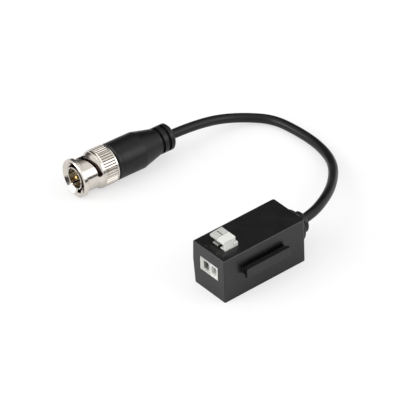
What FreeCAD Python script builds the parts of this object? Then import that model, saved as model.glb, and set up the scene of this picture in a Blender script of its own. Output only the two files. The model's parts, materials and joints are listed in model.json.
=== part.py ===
"""A passive video balun: a small two-pole terminal case with a short coaxial lead to a bayonet plug.

Millimetres. The origin is the middle of the case's underside, +Z is up, -Y is the terminal end
and +X is the side with the rail. The plug lies on the same surface as the case.
"""
import FreeCAD, Part
import math
import os
import re

import Sketcher

# Driving dimensions
SIZES = {
    # Case, a shell that is open below
    "case_width": 16.0,
    "case_length": 36.0,
    "case_height": 17.5,
    "case_wall": 1.3,
    "case_corner": 0.3,
    "case_back_corner": 0.8,
    "case_edge": 0.35,
    "left_foot": 0.2,
    "left_ridge": 0.95,
    "left_top": 0.55,
    "fit_gap": 0.1,
    "press_gap": 0.02,
    # Rail on the right-hand wall
    "rail_length": 19.2,
    "rail_back": 9.2,
    "rail_middle": 9.8,
    "rail_neck_height": 1.8,
    "rail_neck_reach": 1.4,
    "rail_head_height": 3.7,
    "rail_head_thickness": 1.2,
    # Polarity marks on the top
    "mark_size": 1.3,
    "mark_line": 0.35,
    "mark_relief": 0.12,
    "mark_setback": 1.5,
    # Cover under the case
    "cover_thickness": 1.3,
    "post_radius": 1.0,
    "post_x": 4.6,
    "post_front_y": -14.6,
    "post_back_y": 14.0,
    "clip_length": 4.0,
    "clip_height": 3.2,
    "clip_thickness": 0.8,
    "clip_bump": 0.25,
    "clip_bump_height": 0.7,
    "clip_spacing": 18.0,
    # Circuit board
    "board_thickness": 1.0,
    "board_height": 4.5,
    "board_gap": 0.25,
    "solder_radius": 0.95,
    "solder_height": 0.7,
    # Terminal modules
    "seam_x": 0.25,
    "pole_pitch": 4.1,
    "grey_width": 5.4,
    "white_width": 4.15,
    "module_length": 10.0,
    "window_height": 5.6,
    "window_drop": 4.6,
    "nose_recess": 0.15,
    "port_width": 2.7,
    "port_height": 3.4,
    "port_corner": 0.7,
    "port_drop": 0.8,
    "tower_left": 1.22,
    "tower_right": 1.48,
    "tower_setback": 4.35,
    "tower_length": 5.5,
    "tongue_depth": 1.25,
    "tongue_rise": 0.3,
    "tower_rise": 0.65,
    "fence_rise": 1.5,
    "fence_width": 1.0,
    "cheek_length": 3.9,
    "cheek_low": 0.15,
    "cheek_high": 2.6,
    "cheek_top": 0.15,
    "shaft_floor": 1.5,
    # Press levers
    "lever_travel": 0.7,
    "cap_width": 3.72,
    "cap_gap": 0.06,
    "cap_seam_x": -1.05,
    "cap_setback": 4.5,
    "cap_length": 5.3,
    "cap_front_height": 1.35,
    "cap_slope": 0.35,
    "cap_chamfer": 0.4,
    "cap_round": 0.25,
    "groove_width": 0.45,
    "groove_depth": 0.35,
    "groove_length": 2.8,
    "groove_setback": 2.4,
    "stem_left": 0.75,
    "stem_right": 0.3,
    "stem_setback": 1.7,
    "stem_length": 2.5,
    "stem_drop": 5.5,
    "stem_gap": 0.05,
    # Springs and contacts in the terminal
    "foot_thickness": 0.5,
    "spring_thickness": 0.3,
    "spring_margin": 0.12,
    "pin_size": 0.7,
    "pin_reach": 1.2,
    # Parts on the board
    "core_radius": 2.6,
    "core_section": 0.95,
    "core_y": -0.6,
    "wire_radius": 0.35,
    "winding_angle": 140.0,
    "arrester_length": 4.2,
    "arrester_width": 2.6,
    "arrester_height": 2.1,
    "arrester_x": -3.6,
    "arrester_y": 7.2,
    "chip_gap": 0.6,
    "chip_x": 3.4,
    "chip_y": 5.4,
    "capacitor_length": 2.0,
    "capacitor_width": 1.25,
    "capacitor_height": 0.9,
    "resistor_length": 1.6,
    "resistor_width": 0.8,
    "resistor_height": 0.45,
    # Cable and its grommet
    "cable_radius": 1.8,
    "cable_height": 9.6,
    "cable_inside": 2.2,
    "core_wire_radius": 0.45,
    "pigtail_radius": 0.5,
    "pigtail_offset": 1.05,
    "lead_drop_y": 2.6,
    "lead_spread": 2.0,
    "lead_bend": 1.2,
    "grommet_neck_radius": 3.0,
    "grommet_lip_radius": 3.8,
    "grommet_lip": 1.2,
    "grommet_flange_radius": 6.0,
    "grommet_flange": 2.6,
    "grommet_groove_radius": 3.2,
    "grommet_groove": 1.1,
    "grommet_ring_radius": 4.0,
    "grommet_ring": 1.9,
    "grommet_round": 0.5,
    "mouth_flare": 0.25,
    "mouth_depth": 3.0,
    # Plug: where its mating face lies and how it is turned in plan
    "plug_x": -75.57,
    "plug_y": -18.79,
    "plug_yaw": 2.7,
    # Bayonet coupling, along the plug's axis from its mating face
    "coupling_radius": 7.25,
    "flange_length": 1.9,
    "flange_chamfer": 0.4,
    "funnel_radius": 6.7,
    "funnel_depth": 1.2,
    "coupling_bore": 4.9,
    "sleeve_radius": 6.25,
    "sleeve_end": 7.1,
    "shoulder_radius": 6.9,
    "shoulder_end": 8.5,
    "bead_end": 9.5,
    "bead_radius": 7.1,
    "knurl_end": 14.6,
    "coupling_end": 15.4,
    "knurl_count": 44,
    "knurl_depth": 0.32,
    "knurl_width": 0.5,
    "cavity_start": 10.2,
    "cavity_end": 13.3,
    "cavity_radius": 5.9,
    "slot_width": 1.4,
    "slot_mouth": 2.4,
    "slot_mouth_start": 3.3,
    "slot_mouth_end": 6.6,
    "slot_start": 3.9,
    "slot_finish": 7.45,
    "slot_entry_angle": 110.0,
    "slot_stop_angle": 17.5,
    "slot_stop_radius": 0.95,
    "keyway_radius": 5.75,
    # Plug body
    "contact_front": 0.4,
    "contact_radius": 4.3,
    "contact_bore": 3.85,
    "slit_count": 6,
    "slit_width": 0.45,
    "slit_end": 5.2,
    "seat_start": 8.8,
    "seat_radius": 4.8,
    "collar_start": 10.3,
    "collar_radius": 5.75,
    "collar_thickness": 0.9,
    "shank_radius": 4.45,
    "shank_end": 21.0,
    "shank_bore": 2.3,
    "turning_gap": 0.05,
    "gasket_thickness": 0.9,
    "washer_thickness": 0.5,
    "insulator_front": 6.2,
    "insulator_flange": 1.3,
    "insulator_end": 14.5,
    "centre_pin_radius": 0.68,
    "centre_pin_front": 0.8,
    "centre_pin_end": 17.0,
    "wave_count": 3,
    "wave_thickness": 0.3,
    # Boot over the plug's rear and the crimp ferrule in it
    "boot_start": 15.8,
    "boot_radius": 7.05,
    "boot_straight_end": 27.5,
    "boot_taper_end": 35.4,
    "boot_neck_radius": 5.1,
    "boot_end": 41.8,
    "boot_front_round": 0.45,
    "boot_end_round": 0.7,
    "boot_groove_first": 35.9,
    "boot_groove_width": 1.1,
    "boot_groove_pitch": 2.75,
    "boot_groove_depth": 0.9,
    "boot_bridge_angle": 28.0,
    "boot_bridge_turn": 55.0,
    "boot_panel_start": 17.8,
    "boot_panel_end": 23.95,
    "boot_panel_angle": 78.0,
    "boot_panel_turn": -35.0,
    "boot_panel_relief": 0.12,
    "cable_in_boot": 8.6,
    "ferrule_wall": 0.45,
    "ferrule_end": 36.0,
}

# The lead's free route between its two held ends, corner by corner, from the case to the plug
ROUTE = [
    (-6.6, 40.6, 8.25),
    (-16.0, 51.8, 5.3),
    (-26.7, 60.6, 2.85),
    (-39.0, 64.5, 1.85),
    (-51.0, 64.4, 1.85),
    (-62.1, 62.6, 1.85),
    (-68.8, 55.1, 2.75),
    (-72.4, 45.9, 4.55),
    (-72.9, 36.0, 6.5),
]
GROMMET_LEAD_OUT = 3.0
PLUG_LEAD_OUT = 2.0

DOC = FreeCAD.newDocument("balun")
SHEET = DOC.addObject("Spreadsheet::Sheet", "Sizes")
for row, (size_name, size) in enumerate(SIZES.items(), start=1):
    SHEET.set(f"A{row}", size_name)
    SHEET.set(f"B{row}", str(size))
    SHEET.setAlias(f"B{row}", size_name)
DOC.recompute()

# Places that several pieces share, as expressions of the sizes
CASE_RIGHT = "case_width / 2"
INNER_X = "(case_width / 2 - case_wall)"
INNER_Y = "(case_length / 2 - case_wall)"
FRONT = "(-case_length / 2)"
BOARD_TOP = "(board_height + board_thickness)"
WINDOW_TOP = "(case_height - window_drop)"
WINDOW_BOTTOM = "(case_height - window_drop - window_height)"
MODULE_FRONT = f"(-{INNER_Y} + fit_gap)"
MODULE_TOP = "(case_height - case_wall - 2 * fit_gap)"
SHAFT_FLOOR = f"({BOARD_TOP} + shaft_floor)"
CAP_BOTTOM = "(case_height + tower_rise + lever_travel + fit_gap)"
STEM_FRONT = f"({FRONT} + cap_setback + stem_setback)"
STEM_BOTTOM = f"({CAP_BOTTOM} - stem_drop)"
GREY_POLE = "(seam_x - pole_pitch / 2)"
WHITE_POLE = "(seam_x + pole_pitch / 2)"
GROMMET_END = "(case_length / 2 + grommet_flange + grommet_groove + grommet_ring)"
CABLE_END_Y = f"({INNER_Y} - cable_inside)"


def bound(text):
    """The expression with each size's name pointing at its cell."""
    return re.sub(r"[a-z][a-z_]*", lambda word: "Sizes." + word.group(), text)


def number(text):
    """What an expression of sizes comes to."""
    return float(SHEET.evalExpression(text))


def bind(item, field, text):
    """Ties one property of an object to an expression of sizes."""
    item.setExpression(field, bound(text))


def new_body(name):
    body = DOC.addObject("PartDesign::Body", name)
    body.Label = name
    return body


def origin_feature(body, role):
    return next(item for item in body.Origin.OriginFeatures if item.Role == role)


def new_sketch(body, name, plane, start):
    """A sketch on one of the body's planes, moved along the plane's normal by start."""
    sketch = body.newObject("Sketcher::SketchObject", name)
    sketch.AttachmentSupport = [(origin_feature(body, plane), "")]
    sketch.MapMode = "FlatFace"
    bind(sketch, "AttachmentOffset.Base.z", start)
    return sketch


def hold_point(sketch, geometry, point, x, y):
    """Ties a point of a sketch to an expression along each axis."""
    for kind, text, axis in (("DistanceX", x, -2), ("DistanceY", y, -1)):
        if text == "0":
            sketch.addConstraint(Sketcher.Constraint("PointOnObject", geometry, point, axis))
        else:
            rule = Sketcher.Constraint(kind, -1, 1, geometry, point, number(text))
            bind(sketch, f"Constraints[{sketch.addConstraint(rule)}]", text)


def outline(body, name, plane, corners, start="0"):
    """A closed outline of straight sides whose corners are pairs of expressions."""
    sketch = new_sketch(body, name, plane, start)
    places = [FreeCAD.Vector(number(x), number(y), 0) for x, y in corners]
    for side, place in enumerate(places):
        sketch.addGeometry(Part.LineSegment(place, places[(side + 1) % len(places)]))
    for side, (x, y) in enumerate(corners):
        after = (side + 1) % len(corners)
        sketch.addConstraint(Sketcher.Constraint("Coincident", side, 2, after, 1))
        hold_point(sketch, side, 1, x, y)
    return sketch


def rectangle(left, right, low, high):
    return [(left, low), (right, low), (right, high), (left, high)]


def swing(sketch, turn):
    """Turns a sketch about its body's Y axis."""
    sketch.AttachmentOffset.Rotation = FreeCAD.Rotation(FreeCAD.Vector(0, 1, 0), number(turn))
    bind(sketch, "AttachmentOffset.Rotation.Angle", turn)
    return sketch


def disc(body, name, plane, x, y, radius, start="0"):
    """A circle whose centre and radius are expressions."""
    sketch = new_sketch(body, name, plane, start)
    centre = FreeCAD.Vector(number(x), number(y), 0)
    sketch.addGeometry(Part.Circle(centre, FreeCAD.Vector(0, 0, 1), number(radius)))
    rule = Sketcher.Constraint("Radius", 0, number(radius))
    bind(sketch, f"Constraints[{sketch.addConstraint(rule)}]", radius)
    hold_point(sketch, 0, 3, x, y)
    return sketch


def extrude(kind, sketch, length):
    """A pad goes along the sketch plane's normal, and a pocket cuts against it."""
    body = sketch.getParentGeoFeatureGroup()
    feature = body.newObject(f"PartDesign::{kind}", f"{sketch.Name}_{kind}")
    feature.Profile = sketch
    bind(feature, "Length", length)
    return feature


def pad(sketch, length):
    return extrude("Pad", sketch, length)


def pocket(sketch, length):
    """Cuts, and stops the build if nothing was cut."""
    body = sketch.getParentGeoFeatureGroup()
    DOC.recompute()
    before = body.Shape.Volume
    feature = extrude("Pocket", sketch, length)
    DOC.recompute()
    if body.Shape.Volume > before - 1e-6:
        raise RuntimeError(f"{feature.Name} cuts nothing")
    return feature


def revolve(sketch, angle=None):
    """A turn about the sketch's own upright axis: a full one, or a part that straddles the sketch."""
    body = sketch.getParentGeoFeatureGroup()
    feature = body.newObject("PartDesign::Revolution", f"{sketch.Name}_Revolution")
    feature.Profile = sketch
    feature.ReferenceAxis = (sketch, ["V_Axis"])
    feature.Angle = 360
    if angle:
        feature.Midplane = True
        bind(feature, "Angle", angle)
    return feature


def polar(body, feature, count):
    """Repeats a feature about the body's Y axis."""
    pattern = body.newObject("PartDesign::PolarPattern", f"{feature.Name}_Pattern")
    pattern.Originals = [feature]
    pattern.Axis = (origin_feature(body, "Y_Axis"), [""])
    pattern.Angle = 360
    pattern.Occurrences = count
    body.Tip = pattern
    return pattern


def fillet(body, radius, wanted):
    """Rounds the edges of the body's last feature for which wanted is true."""
    DOC.recompute()
    base = body.Tip
    names = [f"Edge{i}" for i, edge in enumerate(base.Shape.Edges, start=1) if wanted(edge)]
    feature = body.newObject("PartDesign::Fillet", f"{base.Name}_Fillet")
    feature.Base = (base, names)
    bind(feature, "Radius", radius)
    return feature


def box_of(edge):
    box = edge.BoundBox
    return (box.XMin, box.XMax), (box.YMin, box.YMax), (box.ZMin, box.ZMax)


def near(a, b):
    return abs(a - b) < 1e-4


def primitive(kind, name, sizes, at=("0", "0", "0")):
    """A plain solid with its sizes and its place bound to expressions."""
    item = DOC.addObject(kind, name)
    item.Label = name
    for field, text in sizes.items():
        bind(item, field, text)
    for axis, text in zip("xyz", at):
        bind(item, f"Placement.Base.{axis}", text)
    return item


def block(name, middle_x, middle_y, bottom, length_x, length_y, height):
    corner = (f"{middle_x} - {length_x} / 2", f"{middle_y} - {length_y} / 2", bottom)
    return primitive("Part::Box", name, {"Length": length_x, "Width": length_y, "Height": height}, corner)


def group(name, items):
    """Separate solids that are one node."""
    node = DOC.addObject("Part::Compound", name)
    node.Label = name
    node.Links = items
    return node


def cross(x, y):
    """The corners of a plus sign about a point."""
    arm, half = "mark_size / 2", "mark_line / 2"
    offsets = [("-", arm, "-", half), ("-", half, "-", half), ("-", half, "-", arm),
               ("+", half, "-", arm), ("+", half, "-", half), ("+", arm, "-", half),
               ("+", arm, "+", half), ("+", half, "+", half), ("+", half, "+", arm),
               ("-", half, "+", arm), ("-", half, "+", half), ("-", arm, "+", half)]
    return [(f"{x} {sx} {dx}", f"{y} {sy} {dy}") for sx, dx, sy, dy in offsets]


# Case
def housing():
    """The outer shell with its window, two lever openings, cable hole, rail and polarity marks.

    The left wall is drafted both ways from a ridge level with the rail.
    """
    body = new_body("housing")
    section = [("-case_width / 2 - left_foot", "0"), (CASE_RIGHT, "0"), (CASE_RIGHT, "case_height"),
               ("-case_width / 2 - left_top", "case_height"), ("-case_width / 2 - left_ridge", "rail_middle")]
    pad(outline(body, "Case", "XZ_Plane", section, FRONT), "case_length")
    fillet(body, "case_corner", lambda edge: not near(*box_of(edge)[2]) and box_of(edge)[1][0] < 0)
    fillet(body, "case_back_corner", lambda edge: not near(*box_of(edge)[2]) and box_of(edge)[1][0] > 0)
    top = number("case_height")
    fillet(body, "case_edge", lambda edge: near(box_of(edge)[2][0], top))
    inner = rectangle(f"-{INNER_X}", INNER_X, f"-{INNER_Y}", INNER_Y)
    pocket(outline(body, "Inside", "XY_Plane", inner, "case_height - case_wall"), "case_height - case_wall")
    window = rectangle("seam_x - grey_width - fit_gap", "seam_x + white_width + fit_gap",
                       f"{WINDOW_BOTTOM} - fit_gap", f"{WINDOW_TOP} + fit_gap")
    pocket(outline(body, "Window", "XZ_Plane", window, "case_length / 2"), "case_wall * 1.5")
    for name, pole in (("GreyOpening", GREY_POLE), ("WhiteOpening", WHITE_POLE)):
        opening = rectangle(f"{pole} - tower_left - fit_gap", f"{pole} + tower_right + fit_gap",
                            f"{FRONT} + tower_setback - fit_gap",
                            f"{FRONT} + tower_setback + tower_length + fit_gap")
        pocket(outline(body, name, "XY_Plane", opening, "case_height"), "case_wall * 1.5")
    hole = disc(body, "CableHole", "XZ_Plane", "0", "cable_height", "grommet_neck_radius + press_gap",
                f"case_wall / 2 - {INNER_Y}")
    pocket(hole, "case_wall * 2")
    rail(body)
    for side, face in (("Right", f"{INNER_X} + clip_bump + fit_gap"), ("Left", f"-{INNER_X} + case_wall / 2")):
        for end, sign in (("Front", "-"), ("Back", "+")):
            recess = rectangle(f"{sign}clip_spacing / 2 - clip_length / 2 - fit_gap",
                               f"{sign}clip_spacing / 2 + clip_length / 2 + fit_gap",
                               "cover_thickness + clip_height - clip_bump_height - 2 * fit_gap",
                               "cover_thickness + clip_height + fit_gap")
            pocket(outline(body, f"{side}{end}Recess", "YZ_Plane", recess, face),
                   "case_wall / 2 + clip_bump + fit_gap")
    mark_y = f"{FRONT} + mark_setback"
    line = rectangle(f"{GREY_POLE} - 1.5 * mark_size", f"{GREY_POLE} - mark_size / 2",
                     f"{mark_y} - mark_line / 2", f"{mark_y} + mark_line / 2")
    pad(outline(body, "MinusMark", "XY_Plane", line, "case_height - mark_relief"), "2 * mark_relief")
    plus = cross(f"{WHITE_POLE} + mark_size / 2", mark_y)
    pad(outline(body, "PlusMark", "XY_Plane", plus, "case_height - mark_relief"), "2 * mark_relief")
    return body


def rail(body):
    """A T-section rail along the right-hand wall, by which two cases slide together."""
    root = f"{CASE_RIGHT} - case_wall / 2"
    neck = f"{CASE_RIGHT} + rail_neck_reach"
    face = f"{neck} + rail_head_thickness"
    neck_low, neck_high = (f"rail_middle {sign} rail_neck_height / 2" for sign in "-+")
    head_low, head_high = (f"rail_middle {sign} rail_head_height / 2" for sign in "-+")
    section = [(root, neck_low), (neck, neck_low), (neck, head_low), (face, head_low),
               (face, head_high), (neck, head_high), (neck, neck_high), (root, neck_high)]
    pad(outline(body, "Rail", "XZ_Plane", section, "-rail_back"), "rail_length")


def base_cover():
    """The plate that closes the case from below, with posts for the board and four clips."""
    body = new_body("base_cover")
    edge_x, edge_y = f"({INNER_X} - fit_gap)", f"({INNER_Y} - fit_gap)"
    plate = rectangle(f"-{edge_x}", edge_x, f"-{edge_y}", edge_y)
    pad(outline(body, "Plate", "XY_Plane", plate), "cover_thickness")
    posts = [("FrontPost", "post_front_y"), ("BackPost", "post_back_y")]
    for name, y in posts:
        for side, sign in (("Left", "-"), ("Right", "")):
            foot = disc(body, side + name, "XY_Plane", f"{sign}post_x", y, "post_radius", "cover_thickness / 2")
            pad(foot, "board_height - cover_thickness / 2")
    for side, inner, bump in (("Left", f"-{edge_x}", f"-{edge_x} - clip_bump"),
                              ("Right", f"{edge_x} - clip_thickness", f"{edge_x} - clip_thickness / 2")):
        for end, sign in (("Front", "-"), ("Back", "+")):
            middle = f"{sign}clip_spacing / 2"
            ends = (f"{middle} - clip_length / 2", f"{middle} + clip_length / 2")
            top = "cover_thickness + clip_height"
            blade = rectangle(*ends, "cover_thickness / 2", top)
            pad(outline(body, f"{side}{end}Blade", "YZ_Plane", blade, inner), "clip_thickness")
            hook = rectangle(*ends, f"{top} - clip_bump_height", top)
            pad(outline(body, f"{side}{end}Hook", "YZ_Plane", hook, bump), "clip_thickness / 2 + clip_bump")
    return body


# Circuit board and what it carries
def pin_places():
    """Where a pin or a wire goes through the board, with its radius."""
    pin_y = f"{STEM_FRONT} + stem_length / 2"
    stem_middle = "(stem_right - stem_left) / 2"
    lead_y = f"{CABLE_END_Y} - lead_drop_y"
    return {
        "LeftPin": (f"{GREY_POLE} + {stem_middle}", pin_y, "pin_size / 2 * 1.5"),
        "RightPin": (f"{WHITE_POLE} + {stem_middle}", pin_y, "pin_size / 2 * 1.5"),
        "CoreWire": ("0", lead_y, "core_wire_radius + fit_gap"),
        "Pigtail": ("lead_spread", lead_y, "pigtail_radius + fit_gap"),
    }


def circuit_board():
    body = new_body("circuit_board")
    edge_x, edge_y = f"({INNER_X} - clip_thickness - board_gap)", f"({INNER_Y} - board_gap)"
    plate = rectangle(f"-{edge_x}", edge_x, f"-{edge_y}", edge_y)
    pad(outline(body, "Board", "XY_Plane", plate, "board_height"), "board_thickness")
    for name, (x, y, radius) in pin_places().items():
        pocket(disc(body, f"{name}Hole", "XY_Plane", x, y, radius, BOARD_TOP), "board_thickness * 1.5")
    return body


def solder_joints():
    """A cone of solder round each pin and wire under the board."""
    cones = []
    for name, (x, y, radius) in pin_places().items():
        sizes = {"Radius1": f"{radius} / 2", "Radius2": "solder_radius", "Height": "solder_height"}
        cones.append(primitive("Part::Cone", f"{name}Solder", sizes, (x, y, "board_height - solder_height")))
    places = pin_places()
    bars = []
    for name in ("LeftPin", "RightPin"):
        x, y, _ = places[name]
        bars.append(block(f"{name}Bar", x, y, "board_height - pin_reach", "pin_size", "pin_size", "2 * pin_reach"))
    for name, radius in (("CoreWire", "core_wire_radius"), ("Pigtail", "pigtail_radius")):
        x, y, _ = places[name]
        sizes = {"Radius": f"{radius} + press_gap", "Height": "2 * pin_reach"}
        bars.append(primitive("Part::Cylinder", f"{name}Bar", sizes, (x, y, "board_height - pin_reach")))
    node = DOC.addObject("Part::Cut", "solder_joints")
    node.Label = "solder_joints"
    node.Base, node.Tool = group("SolderCones", cones), group("WiresInSolder", bars)
    return node


def transformer():
    """A ferrite ring lying flat on the board, with a winding round each half of it."""
    middle = ("0", "core_y", f"{BOARD_TOP} + core_section + press_gap + 2 * wire_radius")
    core = primitive("Part::Torus", "transformer_core",
                     {"Radius1": "core_radius", "Radius2": "core_section"}, middle)
    nodes = [core]
    for name, turn in (("primary_winding", 20.0), ("secondary_winding", 200.0)):
        outer, inner = (
            primitive("Part::Torus", f"{name}_{part}",
                      {"Radius1": "core_radius", "Radius2": radius, "Angle3": "winding_angle"}, middle)
            for part, radius in (("outside", "core_section + press_gap + 2 * wire_radius"),
                                 ("inside", "core_section + press_gap")))
        for item in (outer, inner):
            item.Placement.Rotation = FreeCAD.Rotation(FreeCAD.Vector(0, 0, 1), turn)
        node = DOC.addObject("Part::Cut", name)
        node.Label = name
        node.Base, node.Tool = outer, inner
        nodes.append(node)
    return nodes


def board_parts():
    """The surge arrester and the chip parts that match and balance the line."""
    arrester = block("surge_arrester", "arrester_x", "arrester_y", BOARD_TOP,
                     "arrester_width", "arrester_length", "arrester_height")
    rows = []
    resistor_x = "chip_x - capacitor_width - chip_gap"
    for kind, count, column in (("capacitor", 2, "chip_x"), ("resistor", 3, resistor_x)):
        chips = []
        for place in range(count):
            y = f"chip_y + {place} * ({kind}_length + chip_gap)"
            chips.append(block(f"{kind}_{place + 1}", column, y, BOARD_TOP,
                               f"{kind}_width", f"{kind}_length", f"{kind}_height"))
        rows.append(group(f"{kind}s", chips))
    return [arrester] + rows


# Terminal modules
def terminal_body(name, pole, left, right, fenced):
    """One pole's moulding: a block on the board, a nose in the window and a tower through the top.

    A fenced tower has a sloping cheek beside the front part of its lever, and a low rib behind the cheek.
    """
    body = new_body(name)
    block_plan = rectangle(left, right, MODULE_FRONT, f"{MODULE_FRONT} + module_length")
    pad(outline(body, f"{name}_Block", "XY_Plane", block_plan, BOARD_TOP), f"{MODULE_TOP} - {BOARD_TOP}")
    nose = rectangle(left, right, WINDOW_BOTTOM, WINDOW_TOP)
    pad(outline(body, f"{name}_Nose", "XZ_Plane", nose, f"-{MODULE_FRONT} - fit_gap"),
        f"case_length / 2 - nose_recess + {MODULE_FRONT} + fit_gap")
    tower_left, tower_right = f"{pole} - tower_left", f"{pole} + tower_right"
    front = f"{FRONT} + tower_setback"
    back = f"{front} + tower_length"
    root = f"{MODULE_TOP} - case_wall / 2"
    tongue = rectangle(tower_left, tower_right, front, back)
    pad(outline(body, f"{name}_Tongue", "XY_Plane", tongue, root), f"case_height + tongue_rise - ({root})")
    tower = rectangle(tower_left, tower_right, f"{front} + tongue_depth", back)
    pad(outline(body, f"{name}_Tower", "XY_Plane", tower, root), f"case_height + tower_rise - ({root})")
    if fenced:
        fence = rectangle(f"{tower_right} - fence_width", tower_right, f"{front} + cheek_length", back)
        pad(outline(body, f"{name}_Fence", "XY_Plane", fence, root), f"case_height + fence_rise - ({root})")
        inner = f"{tower_right} - fence_width"
        cheek = [(inner, root), (tower_right, root), (tower_right, "case_height + cheek_low"),
                 (f"{inner} + cheek_top", "case_height + cheek_high"), (inner, "case_height + cheek_high")]
        pad(outline(body, f"{name}_Cheek", "XZ_Plane", cheek, f"-({front}) - cheek_length"), "cheek_length")
    shaft = rectangle(f"{pole} - stem_left - stem_gap", f"{pole} + stem_right + stem_gap",
                      f"{STEM_FRONT} - stem_gap", f"{STEM_FRONT} + stem_length + stem_gap")
    pocket(outline(body, f"{name}_Shaft", "XY_Plane", shaft, CAP_BOTTOM), f"{CAP_BOTTOM} - {SHAFT_FLOOR}")
    port_top = f"{WINDOW_TOP} - port_drop"
    port_low = f"{port_top} - port_height"
    port = rectangle(f"{pole} - port_width / 2", f"{pole} + port_width / 2", port_low, port_top)
    port_depth = f"{STEM_FRONT} + stem_length + case_length / 2"
    pocket(outline(body, f"{name}_Port", "XZ_Plane", port, "case_length / 2"), port_depth)
    middle_x = number(pole)
    low_z, high_z = number(port_low), number(port_top)
    half = number("port_width") / 2
    start_y, nose_y = number(MODULE_FRONT), number("nose_recess - case_length / 2")

    def port_corner(edge):
        (x0, x1), (y0, y1), (z0, z1) = box_of(edge)
        along_y = near(x0, x1) and near(z0, z1) and y0 < start_y and near(y0, nose_y)
        return along_y and near(abs(x0 - middle_x), half) and (near(z0, low_z) or near(z0, high_z))

    fillet(body, "port_corner", port_corner)
    pin_gap = "(pin_size / 2 + press_gap)"
    pin_x = f"{pole} + (stem_right - stem_left) / 2"
    pin_y = f"{STEM_FRONT} + stem_length / 2"
    passage = rectangle(f"{pin_x} - {pin_gap}", f"{pin_x} + {pin_gap}",
                        f"{pin_y} - {pin_gap}", f"{pin_y} + {pin_gap}")
    pocket(outline(body, f"{name}_PinHole", "XY_Plane", passage, f"{SHAFT_FLOOR} + shaft_floor / 4"),
           "shaft_floor * 1.5")
    return body


def lever(name, pole, left, grooved):
    """A press lever: a sloping cap over the tower and a stem down the shaft."""
    body = new_body(name)
    front = f"({FRONT} + cap_setback)"
    back = f"({front} + cap_length)"
    top = f"({CAP_BOTTOM} + cap_front_height)"
    side = [(f"{front} + cap_chamfer", CAP_BOTTOM), (back, CAP_BOTTOM), (back, f"{top} + cap_slope"),
            (front, top), (front, f"{CAP_BOTTOM} + cap_chamfer")]
    pad(outline(body, f"{name}_Cap", "YZ_Plane", side, left), "cap_width")
    cap_top = number(top)
    fillet(body, "cap_round", lambda edge: box_of(edge)[2][1] > cap_top - 1e-3 and not near(*box_of(edge)[2])
           or near(box_of(edge)[2][0], cap_top) or box_of(edge)[2][0] > cap_top)
    if grooved:
        groove_front = f"{front} + groove_setback"
        groove = rectangle(f"{left} + cap_width - groove_length", f"{left} + 2 * cap_width",
                           groove_front, f"{groove_front} + groove_width")
        bed = f"{top} + cap_slope * groove_setback / cap_length"
        pocket(outline(body, f"{name}_Groove", "XY_Plane", groove, f"{bed} + groove_depth"), "2 * groove_depth")
    stem = rectangle(f"{pole} - stem_left", f"{pole} + stem_right", STEM_FRONT, f"{STEM_FRONT} + stem_length")
    pad(outline(body, f"{name}_Stem", "XY_Plane", stem, STEM_BOTTOM), "stem_drop + cap_front_height / 2")
    return body


def contact(name, pole):
    """A foot on the floor of the shaft with a square pin down through the board."""
    body = new_body(name)
    middle = f"{pole} + (stem_right - stem_left) / 2"
    foot = rectangle(f"{pole} - stem_left", f"{pole} + stem_right", STEM_FRONT, f"{STEM_FRONT} + stem_length")
    pad(outline(body, f"{name}_Foot", "XY_Plane", foot, SHAFT_FLOOR), "foot_thickness")
    pin_y = f"{STEM_FRONT} + stem_length / 2"
    pin = rectangle(f"{middle} - pin_size / 2", f"{middle} + pin_size / 2",
                    f"{pin_y} - pin_size / 2", f"{pin_y} + pin_size / 2")
    pad(outline(body, f"{name}_Pin", "XY_Plane", pin, "board_height - pin_reach"),
        f"{SHAFT_FLOOR} - board_height + pin_reach + foot_thickness / 2")
    return body


def clamp_spring(name, pole):
    """A folded strip between the contact's foot and the lever's stem."""
    body = new_body(name)
    front, back = f"({STEM_FRONT} + spring_margin)", f"({STEM_FRONT} + stem_length - spring_margin)"
    low, high = f"({SHAFT_FLOOR} + foot_thickness)", STEM_BOTTOM
    middle = f"({low} + {high}) / 2"
    fold = "2 * spring_thickness"
    strip = [(front, low), (back, low), (back, f"{low} + spring_thickness"), (f"{front} + {fold}", middle),
             (back, f"{high} - spring_thickness"), (back, high), (front, high),
             (front, f"{high} - spring_thickness"), (f"{back} - {fold}", f"{high} - spring_thickness"),
             (front, middle), (f"{back} - {fold}", f"{low} + spring_thickness"),
             (front, f"{low} + spring_thickness")]
    pad(outline(body, f"{name}_Strip", "YZ_Plane", strip, f"{pole} - stem_left + spring_margin"),
        "stem_left + stem_right - 2 * spring_margin")
    return body


# Cable
def cable_grommet():
    """The moulded strain relief that is snapped into the case's back wall."""
    body = new_body("cable_grommet")
    inside, wall = f"({INNER_Y} - fit_gap)", "(case_length / 2)"
    flange_end = f"({wall} + grommet_flange)"
    ring_start = f"({flange_end} + grommet_groove)"
    bore = "(cable_radius + press_gap)"
    section = [(bore, f"{inside} - grommet_lip"), ("grommet_lip_radius", f"{inside} - grommet_lip"),
               ("grommet_lip_radius", inside), ("grommet_neck_radius", inside), ("grommet_neck_radius", wall),
               ("grommet_flange_radius", wall), ("grommet_flange_radius", f"{flange_end} - grommet_round"),
               ("grommet_flange_radius - grommet_round", flange_end), ("grommet_groove_radius", flange_end),
               ("grommet_groove_radius", ring_start), ("grommet_ring_radius - grommet_round / 2", ring_start),
               ("grommet_ring_radius", f"{ring_start} + grommet_round / 2"),
               ("grommet_ring_radius", f"{GROMMET_END} - grommet_round"),
               ("grommet_ring_radius - grommet_round", GROMMET_END), (f"{bore} + mouth_flare", GROMMET_END),
               (bore, f"{GROMMET_END} - mouth_depth")]
    revolve(outline(body, "Grommet", "XY_Plane", section))
    bind(body, "Placement.Base.z", "cable_height")
    return body


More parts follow.
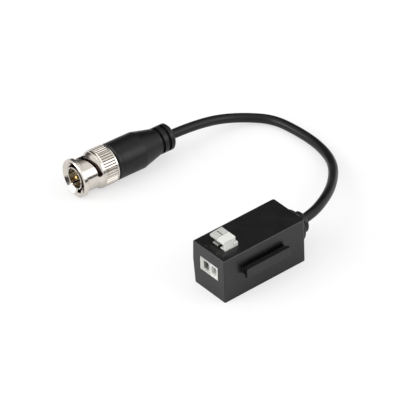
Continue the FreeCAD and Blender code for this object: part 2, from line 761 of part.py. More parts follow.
def rounded_path(points, radii):
    """Straight runs joined by tangent arcs of the given radii."""
    edges = []
    start = points[0]
    for before, corner, after, radius in zip(points, points[1:], points[2:], radii):
        back, on = (before - corner).normalize(), (after - corner).normalize()
        half_turn = (math.pi - back.getAngle(on)) / 2
        reach = radius * math.tan(half_turn)
        first, last = corner + back * reach, corner + on * reach
        inward = (back + on).normalize()
        middle = corner + inward * (radius / math.cos(half_turn) - radius)
        edges.append(Part.LineSegment(start, first).toShape())
        edges.append(Part.Arc(first, middle, last).toShape())
        start = last
    edges.append(Part.LineSegment(start, points[-1]).toShape())
    return Part.Wire(edges)


def tube_along(path, radius):
    """A round bar along a path, checked against its section times its length."""
    start = path.Edges[0]
    ring = Part.Circle(start.valueAt(start.FirstParameter), start.tangentAt(start.FirstParameter), radius)
    bar = path.makePipe(Part.Face(Part.Wire([ring.toShape()])))
    expected = math.pi * radius ** 2 * path.Length
    if abs(bar.Volume / expected - 1) > 0.01:
        raise RuntimeError("a bar's volume is not its section times its length")
    return bar


def shape_node(name, shape):
    """A node whose shape is worked out above."""
    node = DOC.addObject("Part::Feature", name)
    node.Label = name
    node.Shape = shape
    return node


def plug_axis_point(along):
    """A point on the plug's axis, so far behind its mating face."""
    yaw = math.radians(number("plug_yaw"))
    return FreeCAD.Vector(number("plug_x") + along * math.sin(yaw),
                          number("plug_y") + along * math.cos(yaw), number("coupling_radius"))


def cable():
    """The lead's jacket, from inside the case to the crimp ferrule."""
    height = number("cable_height")
    held = [FreeCAD.Vector(0, number(CABLE_END_Y), height),
            FreeCAD.Vector(0, number(GROMMET_END) + GROMMET_LEAD_OUT, height)]
    boot_end = number("boot_end")
    plugged = [plug_axis_point(boot_end + PLUG_LEAD_OUT), plug_axis_point(boot_end - number("cable_in_boot"))]
    points = held + [FreeCAD.Vector(*place) for place in ROUTE] + plugged
    radii = []
    for before, corner, after in zip(points, points[1:], points[2:]):
        shorter = min((corner - before).Length, (after - corner).Length)
        turn = math.pi - (before - corner).getAngle(after - corner)
        radii.append(0.45 * shorter / math.tan(turn / 2))
    print("cable bend radii", [round(radius, 1) for radius in radii])
    path = rounded_path(points, radii)
    print("cable length", round(path.Length, 1))
    return shape_node("cable", tube_along(path, number("cable_radius")))


def inner_leads():
    """The bared core and the twisted shield, from the jacket's end down into the board."""
    end_y, height = number(CABLE_END_Y), number("cable_height")
    drop_y = end_y - number("lead_drop_y")
    below = number("board_height - solder_height")
    bend = number("lead_bend")
    core = [FreeCAD.Vector(0, y, z) for y, z in ((end_y, height), (drop_y, height), (drop_y, below))]
    offset, spread = number("pigtail_offset"), number("lead_spread")
    knee = number(BOARD_TOP) + 2 * number("pigtail_radius")
    shield = [FreeCAD.Vector(offset, end_y, height), FreeCAD.Vector(offset, drop_y, height),
              FreeCAD.Vector(spread, drop_y, knee), FreeCAD.Vector(spread, drop_y, below)]
    return [
        shape_node("coax_core", tube_along(rounded_path(core, [bend]), number("core_wire_radius"))),
        shape_node("shield_pigtail", tube_along(rounded_path(shield, [bend, bend]), number("pigtail_radius"))),
    ]


# Plug
def on_plug(node):
    """Lays a piece made about the Y axis along the plug's axis."""
    bind(node, "Placement.Base.x", "plug_x")
    bind(node, "Placement.Base.y", "plug_y")
    bind(node, "Placement.Base.z", "coupling_radius")
    node.Placement.Rotation = FreeCAD.Rotation(FreeCAD.Vector(0, 0, -1), number("plug_yaw"))
    bind(node, "Placement.Rotation.Angle", "plug_yaw")
    return node


def turned(name, section):
    """A piece turned about the plug's axis, from a section of radius and distance along it."""
    body = new_body(name)
    revolve(outline(body, f"{name}_Section", "XY_Plane", section))
    return body


def bayonet_coupling():
    """The knurled nut with its two bayonet slots."""
    shell = turned("coupling_shell", [
        ("funnel_radius", "0"), ("coupling_radius - flange_chamfer", "0"),
        ("coupling_radius", "flange_chamfer"), ("coupling_radius", "flange_length - flange_chamfer / 2"),
        ("coupling_radius - flange_chamfer / 2", "flange_length"), ("sleeve_radius", "flange_length"),
        ("sleeve_radius", "sleeve_end"), ("shoulder_radius", "shoulder_end"),
        ("bead_radius", "shoulder_end + 0.1"), ("bead_radius", "bead_end"),
        ("coupling_radius", "bead_end + 0.1"), ("coupling_radius", "knurl_end"),
        ("bead_radius", "knurl_end + 0.1"), ("bead_radius", "coupling_end - 0.2"),
        ("bead_radius - 0.2", "coupling_end"), ("shank_radius + turning_gap", "coupling_end"),
        ("shank_radius + turning_gap", "cavity_end"), ("cavity_radius", "cavity_end"),
        ("cavity_radius", "cavity_start"), ("coupling_bore", "cavity_start"), ("coupling_bore", "funnel_depth")])
    groove = [("coupling_radius + knurl_depth", "-knurl_width"), ("coupling_radius - knurl_depth", "0"),
              ("coupling_radius + knurl_depth", "knurl_width")]
    ridge_gap = outline(shell, "KnurlGroove", "XZ_Plane", groove, "-(bead_end + 0.1)")
    cut = pocket(ridge_gap, "knurl_end - bead_end - 0.1")
    polar(shell, cut, int(number("knurl_count")))
    DOC.recompute()
    cutter = shape_node("bayonet_slot_cutter", slot_cutters())
    node = DOC.addObject("Part::Cut", "bayonet_coupling")
    node.Label = "bayonet_coupling"
    node.Base, node.Tool = shell, cutter
    return on_plug(node)


def slot_cutters():
    """Both bayonet slots: a keyway in from the mouth, an open entry, a ramp that levels out and a stop."""
    entry, stop = number("slot_entry_angle"), number("slot_stop_angle")
    start, finish = number("slot_start"), number("slot_finish")
    outer, inner = number("coupling_radius"), number("contact_radius + 2 * fit_gap")
    mouth, width = number("slot_mouth"), number("slot_width")
    mouth_start, mouth_end = number("slot_mouth_start"), number("slot_mouth_end")
    axis = FreeCAD.Vector(0, 1, 0)

    def bar(inside, outside, from_s, to_s, across):
        return Part.makeBox(outside - inside, to_s - from_s, across,
                            FreeCAD.Vector(inside, from_s, -across / 2))

    keyway = bar(inner, number("keyway_radius"), -1, mouth_end, mouth)
    window = bar(inner, outer, mouth_start, mouth_end, mouth)
    steps = 30
    ramp_bits = []
    for step in range(steps + 1):
        share = step / steps
        along = start + (finish - start) * share * (2 - share)
        bit = bar(inner, outer, along - width / 2, along + width / 2, width / 2)
        bit.rotate(FreeCAD.Vector(), axis, (entry - stop) * share)
        ramp_bits.append(bit)
    hole = Part.makeCylinder(number("slot_stop_radius"), outer - inner,
                             FreeCAD.Vector(inner, finish, 0), FreeCAD.Vector(1, 0, 0))
    hole.rotate(FreeCAD.Vector(), axis, entry - stop)
    one = keyway.fuse([window, hole] + ramp_bits).removeSplitter()
    one.rotate(FreeCAD.Vector(), axis, -entry)
    other = one.copy()
    other.rotate(FreeCAD.Vector(), axis, 180)
    return Part.Compound([one, other])


def bnc_body():
    """The plug's outer contact, its seat and collar, and the shank that goes into the boot."""
    body = turned("bnc_body", [
        ("contact_bore", "contact_front"), ("contact_radius", "contact_front"), ("contact_radius", "seat_start"),
        ("seat_radius", "seat_start"), ("seat_radius", "collar_start"), ("collar_radius", "collar_start"),
        ("collar_radius", "collar_start + collar_thickness"), ("shank_radius", "collar_start + collar_thickness"),
        ("shank_radius", "shank_end"), ("shank_bore", "shank_end"),
        ("shank_bore", "insulator_front + insulator_flange"),
        ("contact_bore", "insulator_front + insulator_flange")])
    half = "slit_width / 2"
    opening = rectangle("0", "slit_end", f"-{half}", half)
    slit = outline(body, "Slit", "YZ_Plane", opening, "contact_radius + fit_gap")
    cut = pocket(slit, "contact_radius - contact_bore + 4 * fit_gap")
    polar(body, cut, int(number("slit_count")))
    return on_plug(body)


def plug_insides():
    """Gasket, insulator, centre pin, washers and crimp ferrule."""
    seat = "seat_start - gasket_thickness"
    gasket = turned("gasket", [
        ("contact_radius + press_gap", seat), ("seat_radius - fit_gap", seat),
        ("seat_radius - fit_gap", "seat_start"), ("contact_radius + press_gap", "seat_start")])
    step = "insulator_front + insulator_flange"
    pin_bore = "centre_pin_radius + press_gap"
    insulator = turned("bnc_insulator", [
        (pin_bore, "insulator_front"), ("contact_bore - press_gap", "insulator_front"),
        ("contact_bore - press_gap", step), ("shank_bore - press_gap", step),
        ("shank_bore - press_gap", "insulator_end"), (pin_bore, "insulator_end")])
    tip = "centre_pin_radius / 2"
    centre_pin = turned("bnc_centre_pin", [
        ("0", "centre_pin_front"), (tip, "centre_pin_front"), ("centre_pin_radius", f"centre_pin_front + {tip}"),
        ("centre_pin_radius", "insulator_end + press_gap"),
        ("centre_pin_radius * 1.5", "insulator_end + press_gap"),
        ("centre_pin_radius * 1.5", "centre_pin_end"), ("0", "centre_pin_end")])
    bore, rim = "shank_radius + press_gap", "cavity_radius - fit_gap"
    washer_start = "cavity_end - washer_thickness - press_gap"
    thrust = turned("thrust_washer", [(bore, washer_start), (rim, washer_start),
                                      (rim, "cavity_end - press_gap"), (bore, "cavity_end - press_gap")])
    inner, outer = "cable_radius + press_gap", "cable_radius + press_gap + ferrule_wall"
    ferrule = turned("crimp_ferrule", [(inner, "shank_end + press_gap"), (outer, "shank_end + press_gap"),
                                       (outer, "ferrule_end"), (inner, "ferrule_end")])
    return [on_plug(node) for node in (gasket, insulator, centre_pin, thrust, wave_washer(), ferrule)]


def wave_washer():
    """A wavy spring ring between the plug's collar and the thrust washer."""
    inner, outer = number("shank_radius + fit_gap"), number("cavity_radius - 2 * fit_gap")
    start = number("collar_start + collar_thickness")
    room = number("cavity_end - washer_thickness - press_gap") - start
    thickness = number("wave_thickness")
    rise = (room - thickness) / 2 - number("press_gap")
    steps = 12 * int(number("wave_count"))

    def corner(radius, step, lift):
        angle = 2 * math.pi * step / steps
        height = start + room / 2 + rise * math.sin(number("wave_count") * angle) + lift
        return FreeCAD.Vector(radius * math.cos(angle), height, radius * math.sin(angle))

    faces = []
    for step in range(steps):
        ring = [(inner, -thickness / 2), (outer, -thickness / 2), (outer, thickness / 2), (inner, thickness / 2)]
        for (r0, lift0), (r1, lift1) in zip(ring, ring[1:] + ring[:1]):
            a, b = corner(r0, step, lift0), corner(r1, step, lift1)
            c, d = corner(r1, step + 1, lift1), corner(r0, step + 1, lift0)
            for triangle in ((a, b, c), (a, c, d)):
                faces.append(Part.Face(Part.makePolygon(list(triangle) + [triangle[0]])))
    shell = Part.makeShell(faces)
    shell.sewShape()
    return shape_node("wave_washer", Part.makeSolid(shell))


def bnc_boot():
    """The moulded grip over the shank, with a plain raised panel and two interrupted grooves near its neck."""
    bore = "(cable_radius + press_gap)"
    ferrule = f"({bore} + ferrule_wall + press_gap)"
    second = "boot_groove_first + boot_groove_pitch"
    bed = "boot_neck_radius - boot_groove_depth"
    neck = "boot_neck_radius"
    body = turned("bnc_boot", [
        ("shank_radius + press_gap", "boot_start"), ("boot_radius - boot_front_round", "boot_start"),
        ("boot_radius", "boot_start + boot_front_round"), ("boot_radius", "boot_straight_end"),
        (neck, "boot_taper_end"), (neck, "boot_groove_first"), (bed, "boot_groove_first"),
        (bed, "boot_groove_first + boot_groove_width"), (neck, "boot_groove_first + boot_groove_width"),
        (neck, second), (bed, second), (bed, f"{second} + boot_groove_width"),
        (neck, f"{second} + boot_groove_width"), (neck, "boot_end - boot_end_round"),
        (f"{neck} - boot_end_round", "boot_end"), (f"{bore} + mouth_flare", "boot_end"),
        (bore, "boot_end - mouth_depth"), (bore, "ferrule_end + press_gap"),
        (ferrule, "ferrule_end + press_gap"), (ferrule, "shank_end + press_gap"),
        ("shank_radius + press_gap", "shank_end + press_gap")])
    for side, sign in (("Right", ""), ("Left", "-")):
        for name, start in (("First", "boot_groove_first"), ("Second", second)):
            low, high = f"{start} - press_gap", f"{start} + boot_groove_width + press_gap"
            bridge = rectangle(f"{sign}({bed} - boot_groove_depth / 2)", f"{sign}({neck})", low, high)
            section = swing(outline(body, f"{side}{name}Bridge", "XY_Plane", bridge), "boot_bridge_turn")
            revolve(section, "boot_bridge_angle")
    panel = rectangle("boot_radius - boot_front_round", "boot_radius + boot_panel_relief",
                      "boot_panel_start", "boot_panel_end")
    revolve(swing(outline(body, "Panel", "XY_Plane", panel), "boot_panel_turn"), "boot_panel_angle")
    return on_plug(body)


def all_nodes():
    grey_left, white_right = "seam_x - grey_width", "seam_x + white_width"
    cap_left = "cap_seam_x - cap_gap / 2 - cap_width"
    return [
        housing(),
        base_cover(),
        circuit_board(),
        solder_joints(),
        *transformer(),
        *board_parts(),
        terminal_body("terminal_body_grey", GREY_POLE, grey_left, "seam_x", False),
        terminal_body("terminal_body_white", WHITE_POLE, "seam_x", white_right, True),
        lever("lever_grey", GREY_POLE, cap_left, True),
        lever("lever_white", WHITE_POLE, "cap_seam_x + cap_gap / 2", False),
        contact("contact_left", GREY_POLE),
        contact("contact_right", WHITE_POLE),
        clamp_spring("spring_left", GREY_POLE),
        clamp_spring("spring_right", WHITE_POLE),
        cable_grommet(),
        cable(),
        *inner_leads(),
        bayonet_coupling(),
        bnc_body(),
        *plug_insides(),
        bnc_boot(),
    ]


def main():
    nodes = all_nodes()
    DOC.recompute()
    for item in DOC.Objects:
        if "Invalid" in item.State or "Error" in item.State:
            raise RuntimeError(f"{item.Name} failed: {item.State}")
    os.makedirs("parts", exist_ok=True)
    for node in nodes:
        if node.Shape.isNull() or not node.Shape.isValid():
            raise RuntimeError(f"{node.Label} has no valid shape")
    for node in nodes:
        node.Shape.exportStep(f"parts/{node.Label}.step")


main()
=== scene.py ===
"""Looks for the video balun: materials, the smooth lead, a pale floor, soft lights and the camera."""

import json
import math

import bpy
from mathutils import Matrix, Vector


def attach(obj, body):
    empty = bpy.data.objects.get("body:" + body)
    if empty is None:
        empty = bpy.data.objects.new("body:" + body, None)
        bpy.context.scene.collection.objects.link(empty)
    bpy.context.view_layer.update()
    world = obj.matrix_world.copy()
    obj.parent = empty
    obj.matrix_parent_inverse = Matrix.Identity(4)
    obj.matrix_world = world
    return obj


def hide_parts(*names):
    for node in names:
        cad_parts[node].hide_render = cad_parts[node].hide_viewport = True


MM = 0.001

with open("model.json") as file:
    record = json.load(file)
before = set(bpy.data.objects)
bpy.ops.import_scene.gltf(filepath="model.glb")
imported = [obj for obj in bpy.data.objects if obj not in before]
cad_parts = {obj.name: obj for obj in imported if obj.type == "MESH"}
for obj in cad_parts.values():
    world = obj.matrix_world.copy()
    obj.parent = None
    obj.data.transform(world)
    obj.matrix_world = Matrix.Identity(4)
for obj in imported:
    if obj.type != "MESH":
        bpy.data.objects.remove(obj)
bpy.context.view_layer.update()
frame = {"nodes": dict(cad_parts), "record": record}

# Viewing angle of the photograph, with the camera's place and lens in millimetres
CAMERA_AZIMUTH = 52.44
CAMERA_ELEVATION = 36.52
CAMERA_ROLL = -2.55
CAMERA_PLACE = (676.10, -540.58, 672.18)
CAMERA_LENS = 286.2
CAMERA_SENSOR = 36

# The lead's corners from inside the case to inside the boot, in millimetres
LEAD_ROUTE = [
    (0.0, 14.5, 9.6),
    (0.0, 26.6, 9.6),
    (-6.6, 40.6, 8.25),
    (-16.0, 51.8, 5.3),
    (-26.7, 60.6, 2.85),
    (-39.0, 64.5, 1.85),
    (-51.0, 64.4, 1.85),
    (-62.1, 62.6, 1.85),
    (-68.8, 55.1, 2.75),
    (-72.4, 45.9, 4.55),
    (-72.9, 36.0, 6.5),
    (-73.51, 24.96, 7.25),
    (-74.01, 14.37, 7.25),
]
LEAD_DIAMETER = 3.6

# Sizes that all the surfaces share, in millimetres
CLOUD_SIZE = 6
SOAK_DEPTH = 0.8

# How the surfaces vary, and where their lighter edges begin, partly rubbed and partly painted highlight
CLOUD_DETAIL = 3
GRAIN_DETAIL = 4
CLOUD_RANGE = (0.3, 0.7)
GRAIN_STRENGTH = 0.6
SOAK_COLOUR = (1.0, 1.0, 0.9)
EDGE_WEAR_AND_HIGHLIGHT_FLATNESS = 0.8
PAINTED_RIM_HIGHLIGHT_SPREAD = 0.25

# Brightness of the world and the floor, as light, straight on and in mirrors
WORLD_LIGHT = 0.7
WORLD_IN_MIRRORS = 0.6
FLOOR_WHITENESS = 0.75
FLOOR_WHITENESS_SEEN = 0.45
FLOOR_GLOW_SEEN = 0.6
FLOOR_IN_MIRRORS = 0.35
WHITE = (1, 1, 1)
BLACK = (0, 0, 0)

# Places and sizes in the room, in metres
FLOOR_SIDE = 8
FLOOR_DROP = 0.02 * MM
OBJECT_MIDDLE = (-0.035, 0.02, 0.0)

# Where a card's shading begins and ends, as shares of its height
CARD_FOOT = 0.35
CARD_TOP = 0.9

# Each slot's material, by the slot's name
materials = {}


def make_camera():
    """Looks at the object from the photograph's place, with its narrow field of view."""
    azimuth = math.radians(CAMERA_AZIMUTH)
    elevation = math.radians(CAMERA_ELEVATION)
    back = Vector((math.sin(azimuth) * math.cos(elevation), -math.cos(azimuth) * math.cos(elevation),
                   math.sin(elevation)))
    right = Vector((0, 0, 1)).cross(back).normalized()
    up = back.cross(right)
    turn = Matrix((right, up, back)).transposed() @ Matrix.Rotation(math.radians(CAMERA_ROLL), 3, "Z")
    data = bpy.data.cameras.new("camera")
    data.lens = CAMERA_LENS
    data.sensor_width = CAMERA_SENSOR
    data.clip_start = 0.01
    camera = bpy.data.objects.new("camera", data)
    camera.matrix_world = Matrix.Translation(Vector(CAMERA_PLACE) * MM) @ turn.to_4x4()
    bpy.context.collection.objects.link(camera)
    bpy.context.scene.camera = camera


def make_lead():
    """The lead as one smooth curve along its route.

    Its thickness is in the points' radii, with a section of radius 1, so that the curve's own box fits it.
    """
    curve = bpy.data.curves.new("lead", "CURVE")
    curve.dimensions = "3D"
    curve.bevel_depth = 1.0
    curve.bevel_resolution = 8
    curve.resolution_u = 24
    curve.use_fill_caps = True
    spline = curve.splines.new("NURBS")
    spline.points.add(len(LEAD_ROUTE) - 1)
    for point, place in zip(spline.points, LEAD_ROUTE):
        point.co = (*(Vector(place) * MM), 1)
        point.radius = LEAD_DIAMETER / 2 * MM
    spline.order_u = 3
    spline.use_endpoint_u = True
    lead = bpy.data.objects.new("lead", curve)
    bpy.context.collection.objects.link(lead)
    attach(lead, "case")
    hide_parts("cable")
    return lead


# Parts of the materials
def node(tree, kind, **values):
    """A shader node with its input sockets set by name."""
    made = tree.nodes.new(kind)
    for name, value in values.items():
        made.inputs[name.replace("_", " ")].default_value = value
    return made


def noise(tree, place, size, detail):
    """Soft noise whose patches are about size millimetres across."""
    made = node(tree, "ShaderNodeTexNoise", Scale=1 / (size * MM), Detail=detail)
    tree.links.new(place, made.inputs["Vector"])
    return made.outputs["Fac"]


def spread_over(tree, value, low, high, at_low, at_high):
    """A value that goes from at_low to at_high as another goes from low to high."""
    made = node(tree, "ShaderNodeMapRange", From_Min=low, From_Max=high, To_Min=at_low, To_Max=at_high)
    tree.links.new(value, made.inputs["Value"])
    return made.outputs["Result"]


def ramp(tree, source, low, high, dark, light):
    """A colour ramp between two colours over part of a value's range."""
    made = tree.nodes.new("ShaderNodeValToRGB")
    made.color_ramp.elements[0].position = low
    made.color_ramp.elements[0].color = (*dark, 1)
    made.color_ramp.elements[1].position = high
    made.color_ramp.elements[1].color = (*light, 1)
    tree.links.new(source, made.inputs["Fac"])
    return made.outputs["Color"]


def scaled(tree, colour, amount):
    """A colour made lighter or darker by a value."""
    made = tree.nodes.new("ShaderNodeVectorMath")
    made.operation = "SCALE"
    tree.links.new(colour, made.inputs["Vector"])
    tree.links.new(amount, made.inputs["Scale"])
    return made.outputs["Vector"]


def of_both(tree, operation, first, second):
    """A node that does a vector operation on two values."""
    made = tree.nodes.new("ShaderNodeVectorMath")
    made.operation = operation
    tree.links.new(first, made.inputs[0])
    tree.links.new(second, made.inputs[1])
    return made


def off_half_way(tree):
    """How far a face's upward lean is from that of one halfway between level and upright."""
    axes = tree.nodes.new("ShaderNodeSeparateXYZ")
    tree.links.new(tree.nodes.new("ShaderNodeNewGeometry").outputs["Normal"], axes.inputs[0])
    made = tree.nodes.new("ShaderNodeMath")
    made.operation = "SUBTRACT"
    made.inputs[1].default_value = math.sqrt(0.5)
    tree.links.new(axes.outputs["Z"], made.inputs[0])
    size = tree.nodes.new("ShaderNodeMath")
    size.operation = "ABSOLUTE"
    tree.links.new(made.outputs[0], size.inputs[0])
    return size.outputs[0]


def surface(name, dark, light, roughness, grain, bump, metallic=0.0, specular=0.5, spread=0.06,
            rounding=0.15, edge_wear_and_highlight=0.0, hollow=(0.6, 0.6, 0.6), openness=(0.1, 0.6), reach=4.0, through=0.0,
            painted_rim_highlight=0.0):
    """A moulded, plated or drawn surface: mottled colour, uneven gloss, a fine grain and soft edges.

    grain, bump, rounding and reach are in millimetres: the grain's size and height, how far an edge looks
    rounded, and how near other surfaces are that close a hollow in. wear is how much lighter an edge is,
    partly where it is rubbed and partly as a painted highlight. hollow is the colour of the painted shade
    in hollows, corners and gaps, all over at the first openness and gone at the second. through is the share
    of the light that soaks into a pale moulding, and rim is how much lighter, as a painted highlight,
    rounded edges round a level top are.
    """
    material = bpy.data.materials.new(name)
    material.use_nodes = True
    tree = material.node_tree
    shader = tree.nodes["Principled BSDF"]
    shader.inputs["Metallic"].default_value = metallic
    shader.inputs["Specular IOR Level"].default_value = specular
    shader.inputs["Subsurface Weight"].default_value = through
    shader.inputs["Subsurface Radius"].default_value = SOAK_COLOUR
    shader.inputs["Subsurface Scale"].default_value = SOAK_DEPTH * MM
    place = tree.nodes.new("ShaderNodeTexCoord").outputs["Object"]
    cloud = noise(tree, place, CLOUD_SIZE, CLOUD_DETAIL)
    fine = noise(tree, place, grain, GRAIN_DETAIL)
    rounded = node(tree, "ShaderNodeBevel", Radius=rounding * MM).outputs["Normal"]
    flat = tree.nodes.new("ShaderNodeNewGeometry").outputs["Normal"]
    flatness = of_both(tree, "DOT_PRODUCT", rounded, flat).outputs["Value"]
    sky = node(tree, "ShaderNodeAmbientOcclusion", Distance=reach * MM).outputs["AO"]
    colour = ramp(tree, cloud, *CLOUD_RANGE, dark, light)
    # Lighter edges where the rounded normal turns from the true one: partly rubbed, and on the case a
    # painted highlight along its edges.
    colour = scaled(tree, colour, spread_over(tree, flatness, 1.0, EDGE_WEAR_AND_HIGHLIGHT_FLATNESS, 1.0, 1.0 + edge_wear_and_highlight))
    # Painted highlight: faces that lean halfway between level and upright, as rounded edges round a level
    # top do, are made lighter.
    if painted_rim_highlight:
        colour = scaled(tree, colour, spread_over(tree, off_half_way(tree), 0.0, PAINTED_RIM_HIGHLIGHT_SPREAD, 1.0 + painted_rim_highlight, 1.0))
    # Painted shade: the colour is darkened towards the hollow colour where ambient occlusion finds other
    # surfaces near, in hollows, corners, gaps and slots.
    painted_shade = ramp(tree, sky, *openness, hollow, WHITE)
    tree.links.new(of_both(tree, "MULTIPLY", colour, painted_shade).outputs["Vector"], shader.inputs["Base Color"])
    tree.links.new(spread_over(tree, cloud, *CLOUD_RANGE, roughness - spread, roughness + spread),
                   shader.inputs["Roughness"])
    height = node(tree, "ShaderNodeBump", Strength=GRAIN_STRENGTH, Distance=bump * MM)
    tree.links.new(fine, height.inputs["Height"])
    tree.links.new(rounded, height.inputs["Normal"])
    tree.links.new(height.outputs["Normal"], shader.inputs["Normal"])
    materials[name] = material


# The materials
def black_mouldings():
    """The glossy case, the softer grommet and boot, the lead's jacket and the chips."""
    # The case's lighter edges are painted highlights, and the grommet's and boot's dark hollow colour is
    # painted shade in their grooves.
    surface("case_black", (0.0014, 0.0014, 0.0018), (0.0026, 0.0026, 0.0032),
            roughness=0.31, grain=0.22, bump=0.008, specular=0.57, rounding=0.2, edge_wear_and_highlight=5.0, painted_rim_highlight=25.0)
    surface("soft_black", (0.0016, 0.0016, 0.0026), (0.0028, 0.0028, 0.0044),
            roughness=0.38, grain=0.35, bump=0.012, specular=0.38, edge_wear_and_highlight=1.0, hollow=(0.1, 0.1, 0.1),
            reach=2.0)
    surface("jacket_black", (0.002, 0.002, 0.002), (0.0035, 0.0035, 0.0035),
            roughness=0.34, grain=0.5, bump=0.012, specular=0.36)
    surface("chip_black", (0.01, 0.01, 0.01), (0.02, 0.02, 0.02),
            roughness=0.4, grain=0.2, bump=0.01, edge_wear_and_highlight=1.0)


def pale_mouldings():
    """The two poles of the terminal, which light soaks into, and the plastics of the lead and plug."""
    # The grey pole's near-black hollow colour is painted shade in its wire port and other hollows.
    surface("terminal_grey", (0.56, 0.56, 0.53), (0.62, 0.62, 0.59),
            roughness=0.45, grain=0.3, bump=0.01, hollow=(0.05, 0.05, 0.05), through=0.15)
    surface("terminal_white", (0.8, 0.81, 0.77), (0.84, 0.85, 0.81),
            roughness=0.42, grain=0.3, bump=0.01, hollow=(0.9, 0.9, 0.9), through=0.7)
    surface("dielectric_white", (0.7, 0.7, 0.68), (0.8, 0.8, 0.78), roughness=0.5, grain=0.4, bump=0.01)
    surface("insulator_cream", (0.45, 0.38, 0.27), (0.55, 0.47, 0.35),
            roughness=0.4, grain=0.4, bump=0.01)


def coloured_parts():
    """The board, the ferrite ring, the small parts on the board and the plug's red seal."""
    surface("board_green", (0.015, 0.11, 0.04), (0.03, 0.17, 0.07), roughness=0.35, grain=0.8, bump=0.02)
    surface("ferrite", (0.03, 0.03, 0.032), (0.06, 0.058, 0.056),
            roughness=0.7, grain=0.15, bump=0.03, edge_wear_and_highlight=0.8)
    surface("arrester_blue", (0.03, 0.08, 0.28), (0.05, 0.12, 0.36), roughness=0.2, grain=0.6, bump=0.01)
    surface("ceramic_tan", (0.36, 0.24, 0.14), (0.46, 0.32, 0.2),
            roughness=0.55, grain=0.2, bump=0.01, edge_wear_and_highlight=0.2)
    surface("seal_red", (0.05, 0.012, 0.008), (0.08, 0.02, 0.014),
            roughness=0.6, grain=0.3, bump=0.02, hollow=(0.1, 0.1, 0.1))


def metals():
    """Wire, solder and tin on the board, the steel springs, and the plug's plating and contacts."""
    surface("copper", (0.5, 0.17, 0.07), (0.68, 0.27, 0.12),
            roughness=0.3, grain=0.25, bump=0.03, metallic=1.0)
    surface("solder", (0.55, 0.55, 0.57), (0.75, 0.75, 0.77),
            roughness=0.25, grain=0.5, bump=0.03, metallic=1.0)
    surface("tinned", (0.6, 0.6, 0.62), (0.74, 0.74, 0.76),
            roughness=0.3, grain=0.3, bump=0.01, metallic=1.0)
    surface("spring_steel", (0.5, 0.5, 0.52), (0.62, 0.62, 0.64),
            roughness=0.25, grain=0.2, bump=0.008, metallic=1.0)
    # The plating's dark brown-red hollow colour is painted shade in the nut's slots, the bore and other
    # hollows.
    surface("nickel", (0.70, 0.655, 0.595), (0.78, 0.735, 0.67),
            roughness=0.16, grain=0.6, bump=0.003, metallic=1.0, spread=0.03, rounding=0.1,
            hollow=(0.1, 0.06, 0.045), openness=(0.3, 0.8), reach=2.2)
    surface("gold", (0.78, 0.5, 0.17), (0.9, 0.62, 0.25),
            roughness=0.18, grain=0.3, bump=0.004, metallic=1.0, spread=0.04)
    surface("brass", (0.6, 0.42, 0.16), (0.7, 0.52, 0.22),
            roughness=0.3, grain=0.3, bump=0.008, metallic=1.0)


def dress(lead):
    """Gives the lead and each node the material of its slot."""
    slots = {part["node"]: part["material_slot"] for part in frame["record"]["subparts"]}
    for name, item in frame["nodes"].items():
        item.data.materials.clear()
        item.data.materials.append(materials[slots[name]])
    lead.data.materials.append(materials["jacket_black"])


# Surroundings
def white_for(tree, reflected):
    """1 for rays straight from the camera, reflected for mirrored or refracted ones, and 0 for the rest."""
    path = tree.nodes.new("ShaderNodeLightPath")
    seen = path.outputs["Is Camera Ray"]
    for name in ("Is Glossy Ray", "Is Transmission Ray"):
        dimmed = tree.nodes.new("ShaderNodeMath")
        dimmed.operation = "MULTIPLY"
        dimmed.inputs[1].default_value = reflected
        tree.links.new(path.outputs[name], dimmed.inputs[0])
        either = tree.nodes.new("ShaderNodeMath")
        either.operation = "MAXIMUM"
        tree.links.new(seen, either.inputs[0])
        tree.links.new(dimmed.outputs[0], either.inputs[1])
        seen = either.outputs[0]
    return seen


def make_world():
    """Even light from all round, which shows as plain white."""
    world = bpy.data.worlds.new("studio")
    bpy.context.scene.world = world
    world.use_nodes = True
    tree = world.node_tree
    tree.nodes.clear()
    lit = node(tree, "ShaderNodeBackground", Color=(*WHITE, 1), Strength=WORLD_LIGHT)
    shown = node(tree, "ShaderNodeBackground", Color=(*WHITE, 1), Strength=1.0)
    mix = tree.nodes.new("ShaderNodeMixShader")
    tree.links.new(white_for(tree, WORLD_IN_MIRRORS), mix.inputs["Fac"])
    tree.links.new(lit.outputs[0], mix.inputs[1])
    tree.links.new(shown.outputs[0], mix.inputs[2])
    out = tree.nodes.new("ShaderNodeOutputWorld")
    tree.links.new(mix.outputs[0], out.inputs["Surface"])


def make_floor():
    """A pale sweep that keeps the object's shadow and otherwise shows as white."""
    bpy.ops.mesh.primitive_plane_add(size=FLOOR_SIDE, location=(0, 0, -FLOOR_DROP))
    floor = bpy.context.object
    floor.name = "floor"
    material = bpy.data.materials.new("floor")
    material.use_nodes = True
    tree = material.node_tree
    tree.nodes.clear()
    paper = tree.nodes.new("ShaderNodeBsdfDiffuse")
    glow = node(tree, "ShaderNodeEmission", Color=(*WHITE, 1))
    whiteness = spread_over(tree, white_for(tree, 0.0), 0, 1, FLOOR_WHITENESS, FLOOR_WHITENESS_SEEN)
    tree.links.new(whiteness, paper.inputs["Color"])
    strength = spread_over(tree, white_for(tree, FLOOR_IN_MIRRORS), 0, 1, 0, FLOOR_GLOW_SEEN)
    tree.links.new(strength, glow.inputs["Strength"])
    both = tree.nodes.new("ShaderNodeAddShader")
    tree.links.new(paper.outputs[0], both.inputs[0])
    tree.links.new(glow.outputs[0], both.inputs[1])
    out = tree.nodes.new("ShaderNodeOutputMaterial")
    tree.links.new(both.outputs[0], out.inputs["Surface"])
    floor.data.materials.append(material)


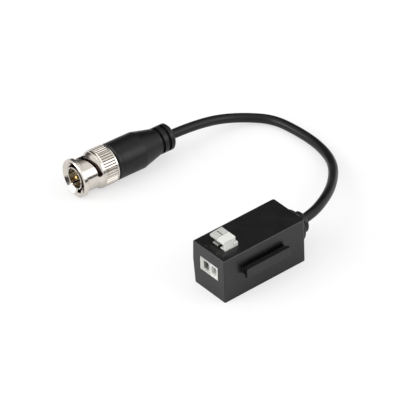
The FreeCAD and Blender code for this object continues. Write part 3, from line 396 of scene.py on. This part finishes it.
def aim(item, place, target):
    """Puts an item at a place with its -Z axis towards the target."""
    item.location = place
    item.rotation_euler = (Vector(target) - Vector(place)).to_track_quat("-Z", "Y").to_euler()


def make_lamp(name, place, size, power):
    """A square softbox that faces the object."""
    data = bpy.data.lights.new(name, "AREA")
    data.size = size
    data.energy = power
    lamp = bpy.data.objects.new(name, data)
    bpy.context.collection.objects.link(lamp)
    aim(lamp, place, OBJECT_MIDDLE)


def make_card(name, place, target, width, height, foot, top):
    """A card that only reflections see, graded from its foot to its top."""
    bpy.ops.mesh.primitive_plane_add(size=1)
    card = bpy.context.object
    card.name = name
    aim(card, place, target)
    card.scale = (width, height, 1)
    card.visible_camera = False
    card.visible_diffuse = False
    card.visible_shadow = False
    material = bpy.data.materials.new(name)
    material.use_nodes = True
    tree = material.node_tree
    tree.nodes.clear()
    axes = tree.nodes.new("ShaderNodeSeparateXYZ")
    tree.links.new(tree.nodes.new("ShaderNodeTexCoord").outputs["Generated"], axes.inputs[0])
    shine = tree.nodes.new("ShaderNodeEmission")
    tree.links.new(ramp(tree, axes.outputs["Y"], CARD_FOOT, CARD_TOP, foot, top), shine.inputs["Color"])
    out = tree.nodes.new("ShaderNodeOutputMaterial")
    tree.links.new(shine.outputs[0], out.inputs["Surface"])
    card.data.materials.append(material)


def make_lights():
    """Two softboxes, a dim backdrop behind and a small dark card before the plug."""
    make_lamp("key", place=(-0.35, -0.85, 0.5), size=0.75, power=5.0)
    make_lamp("side", place=(0.665, 0.51, 0.52), size=0.62, power=1.9)
    make_card("backdrop", place=(-1.02, 0.70, 1.25), target=(-0.035, 0.02, 1.25), width=2.6, height=2.5,
              foot=(0.1, 0.098, 0.1), top=(0.7, 0.67, 0.64))
    make_card("front_card", place=(-0.0795, -0.038, 0.0033), target=(-0.0795, 0.0, 0.0033), width=0.008,
              height=0.0065, foot=BLACK, top=BLACK)


make_camera()
lead = make_lead()
black_mouldings()
pale_mouldings()
coloured_parts()
metals()
dress(lead)
make_world()
make_floor()
make_lights()
bpy.context.scene.view_settings.view_transform = "Standard"

bpy.context.view_layer.update()
